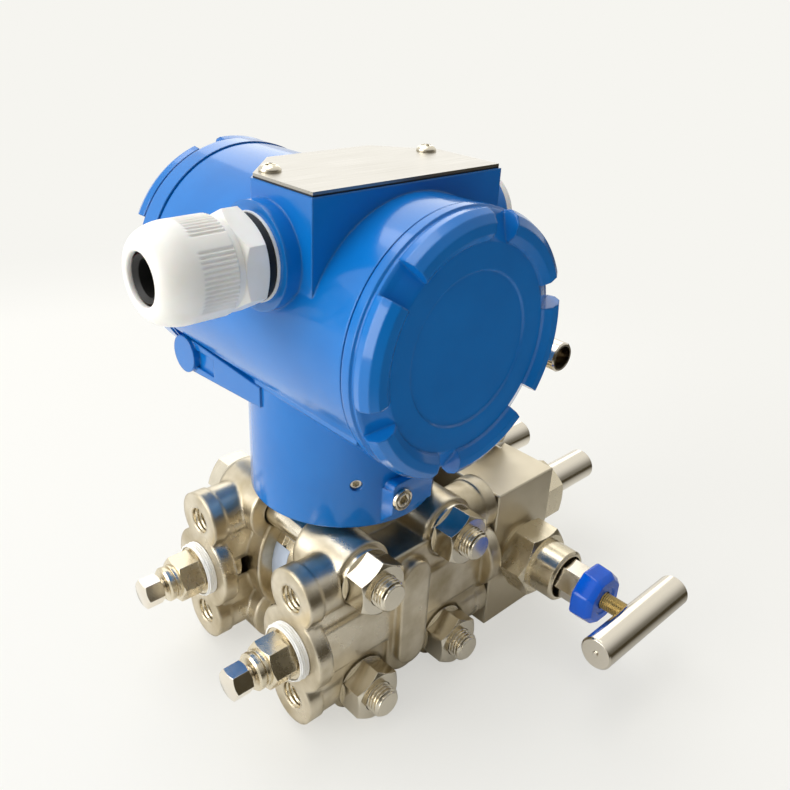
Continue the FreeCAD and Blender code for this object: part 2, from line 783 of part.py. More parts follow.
def bonnet_form(cup_top, corner):
    hex_top = bonnet_base_t + bonnet_hex_t
    return join([
        rod(bonnet_shank_r, (0, 0, -bonnet_shank), (0, 0, bonnet_base_t)),
        rod(bonnet_base_r, (0, 0, 0), (0, 0, bonnet_base_t)),
        nut_form(bonnet_hex, (0, 0, bonnet_base_t), (0, 0, hex_top), corner),
        spin([(0, hex_top), (collar_r, hex_top), (collar_r, cup_top - 0.8), (collar_r - 0.8, cup_top),
              (0, cup_top)], (0, 0, 0), (0, 0, 1)),
    ]).cut(rod(cup_r, (0, 0, cup_top - cup_depth), (0, 0, cup_top)))


def cap_form(start):
    flat = cap_r - cap_bevel
    rounded = spin([(0, 0), (flat, 0), (cap_r, cap_bevel), (cap_r, cap_t - cap_bevel), (flat, cap_t),
                    (0, cap_t)], (0, 0, start), (0, 0, 1))
    shell = hexagon(cap_r * cap_hex, (0, 0, start), (0, 0, start + cap_t)).common(rounded)
    return shell.cut([rod(cap_neck_r + thread_gap, (0, 0, start), (0, 0, start + cap_t - cap_bevel)),
                      rod(stem_rod_r + slip_gap, (0, 0, start), (0, 0, start + cap_t))])


def bar_form(out, hollow):
    reach = bar_half - bar_edge
    ends = [(0, -bar_half), (bar_r - bar_edge, -bar_half), (bar_r, -reach), (bar_r, reach),
            (bar_r - bar_edge, bar_half), (0, bar_half)]
    bar = spin(ends, (0, 0, out), (1, 0, 0))
    hole = rod(stem_rod_r + running_gap, (0, 0, 0), (0, 0, out + stem_top + running_gap))
    if hollow:
        bores = [rod(bar_bore_r, (side * bar_half, 0, out), (side * (bar_half - bar_bore), 0, out))
                 for side in (-1, 1)]
        return bar.cut(bores + [hole])
    tip = bar_half + bar_pip_r / 2
    return join([bar, rod(bar_pip_r, (-tip, 0, out), (tip, 0, out))]).cut(hole)


def valve_forms(short):
    """Valve drawn along +Z from its seat face, with the bar along X."""
    out = balance_bar_out if short else bar_out
    cup_top = bonnet_base_t + bonnet_hex_t + collar_t - (balance_collar_cut if short else 0)
    start = cap_start - (balance_cap_cut if short else 0)
    stem_hole = rod(stem_rod_r + running_gap, (0, 0, -bonnet_shank - 1), (0, 0, start + cap_t + 1))
    packing = join([
        nut_form(gland_nut_flats, (0, 0, cup_top - cup_depth), (0, 0, start)),
        rod(cap_neck_r, (0, 0, start), (0, 0, start + cap_t - cap_bevel)),
    ]).cut(stem_hole)
    top = out + stem_top
    stem = spin([(0, -stem_tip), (stem_point_r, -stem_tip), (stem_rod_r, stem_point - stem_tip),
                 (stem_rod_r, top), (0, top)], (0, 0, 0), (0, 0, 1))
    return {"bonnet": bonnet_form(cup_top, Y if short else X).cut(stem_hole), "packing_nut": packing,
            "dust_cap": cap_form(start), "stem": stem, "handle": bar_form(out, short)}


def valves():
    parts = {}
    for name, place in valve_places.items():
        for node, form in valve_forms(name == "balance_valve").items():
            parts[name + "_" + node] = placed(form, *place)
    return parts


def manifold_cuts():
    x0, x1, xm = block_x, block_end, block_mid
    cuts = []
    chamber = join([rod(bonnet_shank_r + thread_gap, (0, 0, -bonnet_shank - 1), (0, 0, 1)),
                    rod(stem_rod_r + slip_gap, (0, 0, -stem_tip - 8), (0, 0, 1))])
    for place in valve_places.values():
        cuts.append(placed(chamber, *place))
    spot_r = bonnet_hex / math.sqrt(3) + spot_margin
    cuts.append(placed(rod(spot_r, (0, 0, 0), (0, 0, 2 * spot_r)), *valve_places["balance_valve"]))
    for side in (-1, 1):
        y = side * port_y
        cuts.append(rod(passage_r, (x0, y, 0), (xm, y, 0)))
        socket_end = (x1 - union_shank, side * inlet_y, 0)
        cuts.append(rod(union_shank_r + thread_gap, (x1, side * inlet_y, 0), socket_end))
        cuts.append(rod(passage_r, (x1, side * inlet_y, 0), (xm, side * inlet_y, 0)))
        for z in (-hole_z, hole_z):
            cuts.append(rod(screw_r + slip_gap, (x0, y, z), (x1, y, z)))
    return cuts


def manifold():
    body = block((block_x, -block_half_width, block_bottom), (block_end, block_half_width, block_top))
    body = body.makeChamfer(block_chamfer, body.Edges)
    seat, outward, bar = valve_places["balance_valve"]
    boss = rod(balance_boss_r, tuple(seat - outward * balance_boss_t), tuple(seat))
    body = join([body, boss]).cut(manifold_cuts())
    rings, screws = [], []
    end = block_end - screw_sink
    for y in (-port_y, port_y):
        ring = rod(port_r + manifold_ring, (half, y, 0), (block_x, y, 0))
        rings.append(ring.cut(rod(port_r + slip_gap, (half, y, 0), (block_x, y, 0))))
        for z in (-hole_z, hole_z):
            stud = rod(screw_r, (half - thread_hole_depth + passage_r, y, z), (end, y, z))
            screws.append(stud.cut(hexagon(screw_key, (end - screw_key_depth, y, z), (end, y, z))))
    return {"manifold_block": body, "manifold_gaskets": group(rings), "manifold_screws": group(screws)}


def inlets():
    bodies, nuts, tubes = [], [], []
    x0 = block_end
    x1 = x0 + union_body_t
    x2 = x1 + union_nut_t
    joint = x1 + sleeve_t
    deep = x0 - union_shank
    for y in (-inlet_y, inlet_y):
        body = join([nut_form(union_body_flats, (x0, y, 0), (x1, y, 0)),
                     rod(union_shank_r, (deep + slip_gap, y, 0), (x0, y, 0)),
                     rod(sleeve_r, (x1, y, 0), (joint, y, 0))])
        bodies.append(body.cut(rod(tube_bore, (deep, y, 0), (joint, y, 0))))
        nut = nut_form(union_nut_flats, (x1, y, 0), (x2, y, 0))
        nuts.append(nut.cut([rod(sleeve_r + thread_gap, (x1, y, 0), (joint + sleeve_t, y, 0)),
                             rod(tube_sleeve_r + thread_gap, (x1, y, 0), (x2, y, 0))]))
        tube = join([rod(tube_r, (joint, y, 0), (tube_reach, y, 0)),
                     rod(tube_sleeve_r, (joint, y, 0), (x2, y, 0)),
                     rod(sleeve_r, (joint, y, 0), (joint + sleeve_t, y, 0))])
        tubes.append(tube.cut(rod(tube_bore, (joint, y, 0), (tube_reach, y, 0))))
    return {"inlet_unions": group(bodies), "inlet_union_nuts": group(nuts), "inlet_tubes": group(tubes)}


def main():
    os.makedirs("parts", exist_ok=True)
    for build in (flanges, capsule, through_bolts, vents, housing, label_plate, covers, electronics,
                  entries, manifold, valves, inlets):
        for node, shape in build().items():
            shape.translate(V(half, 0, 0))
            shape.exportStep("parts/" + node + ".step")


main()
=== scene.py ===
import bpy
import bmesh
import json
import math
from mathutils import Matrix, Vector, noise


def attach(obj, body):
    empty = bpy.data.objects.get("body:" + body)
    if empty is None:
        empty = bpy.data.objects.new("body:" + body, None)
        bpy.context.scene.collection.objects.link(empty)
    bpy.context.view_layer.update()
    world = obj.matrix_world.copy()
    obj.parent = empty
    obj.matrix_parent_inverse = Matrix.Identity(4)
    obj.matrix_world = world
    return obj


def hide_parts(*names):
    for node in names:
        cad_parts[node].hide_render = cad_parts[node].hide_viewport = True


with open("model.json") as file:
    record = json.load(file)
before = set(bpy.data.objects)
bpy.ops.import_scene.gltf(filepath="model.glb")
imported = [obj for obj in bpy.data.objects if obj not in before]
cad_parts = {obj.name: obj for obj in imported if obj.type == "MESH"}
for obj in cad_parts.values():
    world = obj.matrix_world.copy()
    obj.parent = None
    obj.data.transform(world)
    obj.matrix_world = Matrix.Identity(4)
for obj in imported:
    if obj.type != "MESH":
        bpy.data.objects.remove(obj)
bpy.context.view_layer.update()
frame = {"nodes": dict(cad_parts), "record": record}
nodes = frame["nodes"]
print("frame loaded:", len(nodes), "nodes")

mm = 0.001  # everything below is written in real millimetres


def linearColor(hexText, alpha=1.0):
    channels = [int(hexText[i:i + 2], 16) / 255 for i in (1, 3, 5)]
    return tuple(c / 12.92 if c <= 0.04045 else ((c + 0.055) / 1.055) ** 2.4 for c in channels) + (alpha,)


def addNode(tree, kind, settings=None, links=None):
    # links: a socket's value, or (other node, its output) to join them
    node = tree.nodes.new(kind)
    for name, value in (settings or {}).items():
        setattr(node, name, value)
    for socket, value in (links or {}).items():
        if isinstance(value, tuple) and hasattr(value[0], "outputs"):
            tree.links.new(value[0].outputs[value[1]], node.inputs[socket])
        else:
            node.inputs[socket].default_value = value
    return node


def newMaterial(name):
    material = bpy.data.materials.new(name)
    material.use_nodes = True
    tree = material.node_tree
    tree.nodes.clear()
    shader = addNode(tree, "ShaderNodeBsdfPrincipled")
    addNode(tree, "ShaderNodeOutputMaterial", links={"Surface": (shader, "BSDF")})
    place = addNode(tree, "ShaderNodeTexCoord")
    return material, tree, shader, place


def setSockets(shader, values):
    for name, value in values.items():
        shader.inputs[name].default_value = value


def setRamp(node, stops):
    ramp = node.color_ramp
    while len(ramp.elements) > len(stops):
        ramp.elements.remove(ramp.elements[-1])
    while len(ramp.elements) < len(stops):
        ramp.elements.new(1.0)
    for element, (position, color) in zip(ramp.elements, stops):
        element.position = position
        element.color = color if len(color) == 4 else tuple(color) + (1.0,)


paint = {
    "color": "#0975C8",
    "colorDeep": "#086CBC",
    "ior": 1.5,
    "specular": 0.42,
    "roughness": 0.17,
    "coat": 0.3,
    "coatRoughness": 0.03,
    "orangePeel": 2.2,    # mm between the ripples of the sprayed film
    "peelDepth": 0.05,
    "peelStrength": 0.06,
    "cloud": 35.0,
    "edge": 0.9,          # soft edges of a casting under paint
}


def makePaint():
    # stoved enamel sprayed on die-cast aluminium: deep glossy blue with a faint orange peel
    material, tree, shader, place = newMaterial("stovedEnamelBlue")
    setSockets(shader, {"Roughness": paint["roughness"], "IOR": paint["ior"],
                        "Specular IOR Level": paint["specular"], "Coat Weight": paint["coat"],
                        "Coat Roughness": paint["coatRoughness"], "Coat IOR": paint["ior"]})
    cloud = addNode(tree, "ShaderNodeTexNoise", links={"Vector": (place, "Object"), "Detail": 3.0,
                                                       "Scale": 1 / (paint["cloud"] * mm)})
    tone = addNode(tree, "ShaderNodeValToRGB", links={"Fac": (cloud, "Fac")})
    setRamp(tone, [(0.35, linearColor(paint["colorDeep"])), (0.65, linearColor(paint["color"]))])
    tree.links.new(tone.outputs["Color"], shader.inputs["Base Color"])
    soft = addNode(tree, "ShaderNodeBevel", {"samples": 6}, {"Radius": paint["edge"] * mm})
    peel = addNode(tree, "ShaderNodeTexNoise", links={"Vector": (place, "Object"), "Detail": 1.0,
                                                      "Scale": 1 / (paint["orangePeel"] * mm)})
    bump = addNode(tree, "ShaderNodeBump", links={"Height": (peel, "Fac"), "Strength": paint["peelStrength"],
                                                  "Distance": paint["peelDepth"] * mm,
                                                  "Normal": (soft, "Normal")})
    tree.links.new(bump.outputs["Normal"], shader.inputs["Normal"])
    return material


castSteel = {
    "bright": "#DFD5C0",
    "dark": "#B3A587",
    "roughness": (0.25, 0.4),
    "blast": 0.45,        # mm, dimples of the bead blasting, drawn a little coarse to show
    "skin": 4.0,          # mm, slow unevenness left by the wax and shell
    "skinShare": 1.6,
    "bump": 0.35,
    "depth": 0.12,
    "patch": 14.0,
    "edge": 1.9,          # edges rounded in the wax
}


def makeCastSteel():
    # investment-cast stainless steel, bead blasted: grey with a warm cast, soft grainy shine
    material, tree, shader, place = newMaterial("beadBlastedCastSteel")
    setSockets(shader, {"Metallic": 1.0})
    patch = addNode(tree, "ShaderNodeTexNoise", links={"Vector": (place, "Object"), "Detail": 4.0,
                                                       "Scale": 1 / (castSteel["patch"] * mm)})
    tone = addNode(tree, "ShaderNodeValToRGB", links={"Fac": (patch, "Fac")})
    setRamp(tone, [(0.3, linearColor(castSteel["dark"])), (0.62, linearColor(castSteel["bright"]))])
    tree.links.new(tone.outputs["Color"], shader.inputs["Base Color"])
    low, high = castSteel["roughness"]
    sheen = addNode(tree, "ShaderNodeMapRange", links={"Value": (patch, "Fac"), "From Min": 0.3,
                                                       "From Max": 0.7, "To Min": high, "To Max": low})
    tree.links.new(sheen.outputs["Result"], shader.inputs["Roughness"])
    soft = addNode(tree, "ShaderNodeBevel", {"samples": 6}, {"Radius": castSteel["edge"] * mm})
    grain = addNode(tree, "ShaderNodeTexNoise", links={"Vector": (place, "Object"), "Detail": 2.0,
                                                       "Scale": 1 / (castSteel["blast"] * mm)})
    skin = addNode(tree, "ShaderNodeTexNoise", links={"Vector": (place, "Object"), "Detail": 2.0,
                                                      "Scale": 1 / (castSteel["skin"] * mm)})
    height = addNode(tree, "ShaderNodeMath", {"operation": "MULTIPLY_ADD"},
                     {0: (skin, "Fac"), 1: castSteel["skinShare"], 2: (grain, "Fac")})
    bump = addNode(tree, "ShaderNodeBump", links={"Height": (height, "Value"), "Strength": castSteel["bump"],
                                                  "Distance": castSteel["depth"] * mm,
                                                  "Normal": (soft, "Normal")})
    tree.links.new(bump.outputs["Normal"], shader.inputs["Normal"])
    return material


turnedMetals = {
    "machined": {"color": "#DDD2B9", "roughness": (0.2, 0.32), "line": 0.35, "bump": 0.12, "edge": 0.3},
    "milled": {"color": "#D6CCB6", "roughness": (0.4, 0.5), "line": 0.5, "bump": 0.05, "edge": 0.4},
    "polished": {"color": "#E9E1D2", "roughness": (0.1, 0.2), "line": 0.3, "bump": 0.04, "edge": 0.3},
    "plated": {"color": "#E0D8C6", "roughness": (0.14, 0.26), "line": 0.5, "bump": 0.06, "edge": 0.3},
    "foil": {"color": "#C8C8C8", "roughness": (0.12, 0.2), "line": 0.5, "bump": 0.02, "edge": 0.1},
    "brass": {"color": "#B39A60", "roughness": (0.22, 0.34), "line": 0.4, "bump": 0.05, "edge": 0.2},
}
toolMarks = {"patch": 6.0, "depth": 0.05}    # mm, waver of the shine and depth of the tool lines


def makeTurnedMetal(name, finish):
    # bar metal off the machine, bare or plated: fine tool lines and a wavering shine
    material, tree, shader, place = newMaterial(name)
    setSockets(shader, {"Metallic": 1.0, "Base Color": linearColor(finish["color"])})
    patch = addNode(tree, "ShaderNodeTexNoise", links={"Vector": (place, "Object"), "Detail": 3.0,
                                                       "Scale": 1 / (toolMarks["patch"] * mm)})
    low, high = finish["roughness"]
    sheen = addNode(tree, "ShaderNodeMapRange", links={"Value": (patch, "Fac"), "From Min": 0.3,
                                                       "From Max": 0.7, "To Min": low, "To Max": high})
    tree.links.new(sheen.outputs["Result"], shader.inputs["Roughness"])
    soft = addNode(tree, "ShaderNodeBevel", {"samples": 4}, {"Radius": finish["edge"] * mm})
    lines = addNode(tree, "ShaderNodeTexNoise", links={"Vector": (place, "Object"), "Detail": 2.0,
                                                       "Scale": 1 / (finish["line"] * mm)})
    bump = addNode(tree, "ShaderNodeBump", links={"Height": (lines, "Fac"), "Strength": finish["bump"],
                                                  "Distance": toolMarks["depth"] * mm,
                                                  "Normal": (soft, "Normal")})
    tree.links.new(bump.outputs["Normal"], shader.inputs["Normal"])
    return material


brushedSheet = {
    "color": "#B3AFA6",
    "roughness": (0.26, 0.42),
    "hairline": 0.48,     # mm apart, drawn coarser than the real brushing to show
    "stretch": 60.0,      # times as long as they are wide
    "bump": 0.15,
    "depth": 0.03,
}


def makeBrushedSheet():
    # stainless sheet brushed lengthwise: long hairlines and a soft streaked shine
    material, tree, shader, place = newMaterial("brushedStainlessSheet")
    setSockets(shader, {"Metallic": 1.0, "Base Color": linearColor(brushedSheet["color"])})
    squeeze = addNode(tree, "ShaderNodeMapping", links={
        "Vector": (place, "Object"), "Scale": (1 / brushedSheet["stretch"], 1.0, 1.0)})
    hair = addNode(tree, "ShaderNodeTexNoise", links={"Vector": (squeeze, "Vector"), "Detail": 4.0,
                                                      "Scale": 1 / (brushedSheet["hairline"] * mm)})
    low, high = brushedSheet["roughness"]
    sheen = addNode(tree, "ShaderNodeMapRange", links={"Value": (hair, "Fac"), "From Min": 0.3,
                                                       "From Max": 0.7, "To Min": low, "To Max": high})
    tree.links.new(sheen.outputs["Result"], shader.inputs["Roughness"])
    bump = addNode(tree, "ShaderNodeBump", links={"Height": (hair, "Fac"), "Strength": brushedSheet["bump"],
                                                  "Distance": brushedSheet["depth"] * mm})
    tree.links.new(bump.outputs["Normal"], shader.inputs["Normal"])
    return material


mouldings = {
    "nylon": {"color": "#FBFAF5", "shade": "#F5F3EB", "roughness": 0.36, "grain": 0.6, "bump": 0.08,
              "edge": 0.5, "subsurface": 0.12},
    "label": {"color": "#BCC8DA", "shade": "#B0BCCF", "roughness": 0.35, "grain": 3.0, "bump": 0.02,
              "edge": 0.1, "subsurface": 0.0},
    "ptfe": {"color": "#FCFCFA", "shade": "#F4F3EF", "roughness": 0.45, "grain": 0.7, "bump": 0.4,
             "edge": 0.2, "subsurface": 0.0},
    "rubber": {"color": "#141414", "shade": "#1C1B1A", "roughness": 0.55, "grain": 0.5, "bump": 0.1,
               "edge": 0.25, "subsurface": 0.0},
    "cap": {"color": "#0563E0", "shade": "#0456CC", "roughness": 0.12, "grain": 1.5, "bump": 0.05,
            "edge": 0.5, "subsurface": 0.05},
    "phenolic": {"color": "#1A1A1B", "shade": "#222224", "roughness": 0.4, "grain": 0.8, "bump": 0.08,
                 "edge": 0.3, "subsurface": 0.0},
}
mouldedSkin = {"ior": 1.5, "scatter": 1.5, "cloud": 9.0, "depth": 0.1}    # lengths in mm


def makeMoulding(name, finish):
    # injection moulding: even colour, soft edges, and the faint grain of the tool
    material, tree, shader, place = newMaterial(name)
    setSockets(shader, {"Roughness": finish["roughness"], "IOR": mouldedSkin["ior"],
                        "Subsurface Weight": finish["subsurface"],
                        "Subsurface Scale": mouldedSkin["scatter"] * mm})
    cloud = addNode(tree, "ShaderNodeTexNoise", links={"Vector": (place, "Object"), "Detail": 2.0,
                                                       "Scale": 1 / (mouldedSkin["cloud"] * mm)})
    tone = addNode(tree, "ShaderNodeValToRGB", links={"Fac": (cloud, "Fac")})
    setRamp(tone, [(0.35, linearColor(finish["shade"])), (0.65, linearColor(finish["color"]))])
    tree.links.new(tone.outputs["Color"], shader.inputs["Base Color"])
    soft = addNode(tree, "ShaderNodeBevel", {"samples": 4}, {"Radius": finish["edge"] * mm})
    grain = addNode(tree, "ShaderNodeTexNoise", links={"Vector": (place, "Object"), "Detail": 2.0,
                                                       "Scale": 1 / (finish["grain"] * mm)})
    bump = addNode(tree, "ShaderNodeBump", links={"Height": (grain, "Fac"), "Strength": finish["bump"],
                                                  "Distance": mouldedSkin["depth"] * mm,
                                                  "Normal": (soft, "Normal")})
    tree.links.new(bump.outputs["Normal"], shader.inputs["Normal"])
    return material


finishes = {
    "blue_paint": makePaint(),
    "cast_stainless": makeCastSteel(),
    "machined_stainless": makeTurnedMetal("machinedStainlessBar", turnedMetals["machined"]),
    "milled_stainless": makeTurnedMetal("milledStainlessBlock", turnedMetals["milled"]),
    "polished_stainless": makeTurnedMetal("polishedStainlessBar", turnedMetals["polished"]),
    "plated_steel": makeTurnedMetal("brightPlatedSteel", turnedMetals["plated"]),
    "thin_diaphragm": makeTurnedMetal("diaphragmFoil", turnedMetals["foil"]),
    "brushed_plate": makeBrushedSheet(),
    "label_foil": makeMoulding("polyesterLabel", mouldings["label"]),
    "white_ptfe": makeMoulding("ptfeTape", mouldings["ptfe"]),
    "black_rubber": makeMoulding("nitrileRubber", mouldings["rubber"]),
    "ivory_nylon": makeMoulding("mouldedNylonIvory", mouldings["nylon"]),
    "blue_plastic": makeMoulding("mouldedAcetalBlue", mouldings["cap"]),
    "brass_stem": makeTurnedMetal("turnedBrass", turnedMetals["brass"]),
    "black_plastic": makeMoulding("phenolicBlack", mouldings["phenolic"]),
}
print("finishes made:", len(finishes))

slotOf = {part["node"]: part["material_slot"] for part in frame["record"]["subparts"]}
for name, node in nodes.items():
    node.data.materials.clear()
    node.data.materials.append(finishes["milled_stainless" if name == "manifold_block" else slotOf[name]])
print("finishes given to the nodes")


def turnedMesh(name, rows, count=64, inward=False):
    # rows run along local Z: (radius, height), or a function of the angle that gives the pair
    mesh = bpy.data.meshes.new(name)
    points = []
    for row in rows:
        for k in range(count):
            angle = math.tau * k / count
            radius, height = row(angle) if callable(row) else row
            points.append(Vector((radius * math.cos(angle), radius * math.sin(angle), height)) * mm)
    faces = []
    for i in range(len(rows) - 1):
        for k in range(count):
            a, b = i * count + k, i * count + (k + 1) % count
            quad = (a, b, b + count, a + count)
            faces.append(quad[::-1] if inward else quad)
    if not inward:
        faces.append(tuple(range(count))[::-1])
        faces.append(tuple((len(rows) - 1) * count + k for k in range(count)))
    mesh.from_pydata(points, [], faces)
    mesh.polygons.foreach_set("use_smooth", [True] * len(mesh.polygons))
    mesh.set_sharp_from_angle(angle=math.radians(32))
    return mesh


def stand(place, axis, side):
    # frame with local Z along the axis and local X as near the side as it goes
    up = Vector(axis).normalized()
    across = Vector(side)
    across = (across - up * across.dot(up)).normalized()
    grid = Matrix((across, up.cross(across), up)).transposed().to_4x4()
    return Matrix.Translation(Vector(place) * mm) @ grid


def gather(name, shapes, material, body, replaced=None):
    # shapes: (mesh, frame) pairs put into one object
    joined = bmesh.new()
    for mesh, place in shapes:
        copy = mesh.copy()
        copy.transform(place)
        joined.from_mesh(copy)
        bpy.data.meshes.remove(copy)
    mesh = bpy.data.meshes.new(name)
    joined.to_mesh(mesh)
    joined.free()
    piece = bpy.data.objects.new(name, mesh)
    bpy.context.scene.collection.objects.link(piece)
    mesh.materials.append(material)
    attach(piece, body)
    if replaced:
        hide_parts(replaced)
    return piece


hexagons = {"face": 0.98, "slope": 0.577}    # turned face against the flats, and the 30 degree corner cut


def hexRow(flats, height, drop=0.0):
    # hexagon's outline; its corners are turned off towards the end when drop is 1 or -1
    inner = flats / 2 * hexagons["face"]

    def point(angle):
        radius = flats / 2 / math.cos((angle + math.pi / 6) % (math.pi / 3) - math.pi / 6)
        return radius, height + drop * max(radius - inner, 0) * hexagons["slope"]
    return point


def threadRows(start, end, root, crest, pitch, tip=0.0):
    # vee thread; the crest is cut down over the tip's length, and one inside a hole has it inwards
    rows = []
    nearer = min if crest > root else max
    steps = max(2, round((end - start) / (pitch / 8)))
    for i in range(steps + 1):
        height = start + (end - start) * i / steps
        limit = crest - max(0.0, tip - (end - height))

        def point(angle, height=height, limit=limit):
            phase = (height / pitch - angle / math.tau) % 1.0
            rise = min(max(1.25 - abs(phase * 2 - 1) * 1.5, 0.0), 1.0)
            return nearer(root + (crest - root) * rise, limit), height
        rows.append(point)
    return rows


bolts = {
    "places": [(x, z) for x in (23.5, 63.5) for z in (-23.0, 23.0)],
    "headFace": 43.5,
    "headFlats": 17.5,
    "headThick": 7.5,
    "crest": 5.4,
    "root": 4.45,
    "pitch": 1.25,
    "length": 93.1,
    "threadFrom": 80.0,
    "tip": 1.1,
}


def makeBolts():
    rows = [(bolts["headFlats"] / 2 * hexagons["face"], 0.0), hexRow(bolts["headFlats"], 0.0, 1),
            hexRow(bolts["headFlats"], bolts["headThick"]), (bolts["crest"], bolts["headThick"]),
            (bolts["crest"], bolts["threadFrom"])]
    rows += threadRows(bolts["threadFrom"] + 0.1, bolts["length"], bolts["root"], bolts["crest"],
                       bolts["pitch"], bolts["tip"])
    mesh = turnedMesh("throughBolt", rows, 60)
    spots = [(mesh, stand((x, bolts["headFace"], z), (0, -1, 0), (0, 0, 1))) for x, z in bolts["places"]]
    gather("throughBoltsThreaded", spots, finishes["plated_steel"], "transmitter", "through_bolts")


tappedHoles = {
    "crest": 4.25,
    "root": 4.78,
    "wall": 4.79,
    "pitch": 1.5,
    "from": 1.0,
    "depth": 14.0,
    "runOut": 0.4,
    "y": 27.0,
    "z": 20.65,
}


def makeTappedHoles():
    rows = [(tappedHoles["wall"], tappedHoles["runOut"])]
    rows += threadRows(tappedHoles["from"], tappedHoles["depth"], tappedHoles["root"], tappedHoles["crest"],
                       tappedHoles["pitch"])
    rows.append((tappedHoles["wall"], tappedHoles["depth"] + tappedHoles["runOut"]))
    mesh = turnedMesh("tappedThread", rows, 60, inward=True)
    spots = [(mesh, stand((0, y * tappedHoles["y"], z * tappedHoles["z"]), (1, 0, 0), (0, 0, 1)))
             for y in (-1, 1) for z in (-1, 1)]
    gather("tappedThreads", spots, finishes["machined_stainless"], "transmitter")


glandNut = {
    "mouth": (-30.9, -8.5, 126.3),
    "radius": 13.6,
    "bore": 10.75,
    "boreFrom": 6.0,     # cone from here out to the lip
    "lip": 7.0,
    "lipDeep": 1.6,
    "lipWide": 0.9,
    "lipRound": 0.7,
    "domeIn": 5.4,
    "domeDeep": 9.4,
    "length": 20.7,      # from the mouth back to the collar
    "backEdge": 0.7,
    "ribFrom": 11.0,     # behind the mouth
    "ribs": 68,
    "ribDepth": 0.5,
    "smooth": 4,         # plain bands between the sets of ribs
    "smoothFrom": -0.82,
}


def makeGlandNut():
    size, bore, lip, end = (glandNut[key] for key in ("radius", "bore", "lip", "length"))

    def ribbed(height, share):
        def point(angle):
            wave = 0.5 + 0.5 * math.cos(angle * glandNut["ribs"])
            band = math.cos(angle * glandNut["smooth"]) > glandNut["smoothFrom"]
            return size - glandNut["ribDepth"] * (1 - wave) * share * band, height
        return point
    rows = [(bore, glandNut["boreFrom"]), (lip, glandNut["lipDeep"]), (lip, glandNut["lipRound"])]
    rows += [(lip + glandNut["lipWide"] * (1 - math.cos(t)), glandNut["lipRound"] * (1 - math.sin(t)))
             for t in (0.5, 1.0, 1.57)]
    steps = 14
    for k in range(steps + 1):
        turn = math.pi / 2 * k / steps
        rows.append((size - glandNut["domeIn"] * (1 - math.sin(turn)),
                     glandNut["domeDeep"] * (1 - math.cos(turn))))
    rows += [ribbed(glandNut["ribFrom"] - 0.8, 0.0), ribbed(glandNut["ribFrom"], 1.0),
             ribbed(end - 1.0, 1.0), ribbed(end - 0.4, 0.5),
             (size - glandNut["backEdge"], end), (bore, end), (bore, glandNut["boreFrom"])]
    mesh = turnedMesh("glandNutDome", rows, 480, inward=True)
    mesh.flip_normals()
    place = stand(glandNut["mouth"], (1, 0, 0), (0, 0, 1))
    gather("glandNutRibbed", [(mesh, place)], finishes["ivory_nylon"], "gland_nut", "gland_nut")


plateScrews = {
    "x": (13.3, 73.7),
    "y": -1.7,
    "z": 146.9,
    "radius": 3.2,
    "height": 2.1,
    "crown": 0.92,       # share of a half ball that the head takes
    "slotHalf": 0.42,
    "slotReach": 1.75,
    "slotDepth": 1.1,
    "turns": (0.35, 1.1),
    "rings": 26,
}


def makePlateScrews():
    rings = plateScrews["rings"]

    def topPoint(share):
        def point(angle):
            radius = plateScrews["radius"] * share
            height = plateScrews["height"] * math.sqrt(max(1 - plateScrews["crown"] * share ** 2, 0))
            u, v = abs(radius * math.cos(angle)), abs(radius * math.sin(angle))
            inSlot = min(u, v) < plateScrews["slotHalf"] and max(u, v) < plateScrews["slotReach"]
            return radius, height - plateScrews["slotDepth"] * inSlot
        return point
    rows = [(plateScrews["radius"] - 0.1, 0.0), (plateScrews["radius"], 0.25)]
    rows += [topPoint(1 - k / rings) for k in range(rings)]
    rows.append(topPoint(0.004))
    mesh = turnedMesh("plateScrewHead", rows, 120)
    y, z = plateScrews["y"], plateScrews["z"]
    spots = [(mesh, stand((x, y, z), (0, 0, 1), (math.cos(t), math.sin(t), 0)))
             for x, t in zip(plateScrews["x"], plateScrews["turns"])]
    gather("plateScrewsCrossed", spots, finishes["plated_steel"], "transmitter", "nameplate_screws")


tape = {
    "radius": 9.75,
    "bore": 9.2,
    "width": 3.4,
    "y": 27.0,
    "wraps": 4,
    "layer": 0.14,       # ridge of each wrap
    "over": 0.15,
    "tailFrom": 2.8,     # beyond this the wraps thin out
    "ragged": 0.3,
    "frayed": 0.12,
}


def makeTape():
    spots = []
    for side in (-1, 1):
        def edge(height, lift):
            def point(angle):
                where = Vector((math.cos(angle), math.sin(angle), height * 0.8 + side * 7))
                rough = noise.noise(where * 2.2) + 0.6 * noise.noise(where * 6.1)
                across = tape["frayed"] * rough * (lift > 0)
                return tape["radius"] + lift + tape["ragged"] * rough, height + across
            return point
        rows = [(tape["bore"], 0.0)]
        steps = tape["wraps"] * 4
        for k in range(steps + 1):
            height = 0.06 + (tape["width"] - 0.2) * k / steps
            lift = tape["layer"] * math.sin(k * math.pi / 2) + tape["over"]
            rows.append(edge(height, lift - 0.5 * max(height - tape["tailFrom"], 0)))
        rows += [(tape["bore"], tape["width"] - 0.02), (tape["bore"], 0.0)]
        mesh = turnedMesh("tapeWrap", rows, 150)
        spots.append((mesh, stand((0, side * tape["y"], 0), (-1, 0, 0), (0, 0, 1))))
    gather("tapeWraps", spots, finishes["white_ptfe"], "transmitter", "thread_tape_rings")


groundScrew = {
    "face": (38.0, -35.5, 46.7),
    "shank": 2.84,
    "length": 7.0,
    # radius and height over the lug: domed lock washer, groove, end of the screw
    "profile": [(3.9, 0.0), (3.9, 0.7), (3.65, 1.15), (3.25, 1.35), (2.95, 1.15), (2.85, 0.3), (2.65, 0.3),
                (2.6, 0.95), (2.4, 1.2), (1.9, 1.2)],
    "socket": 3.0,
    "socketFrom": 0.95,
    "socketTo": -1.5,
}


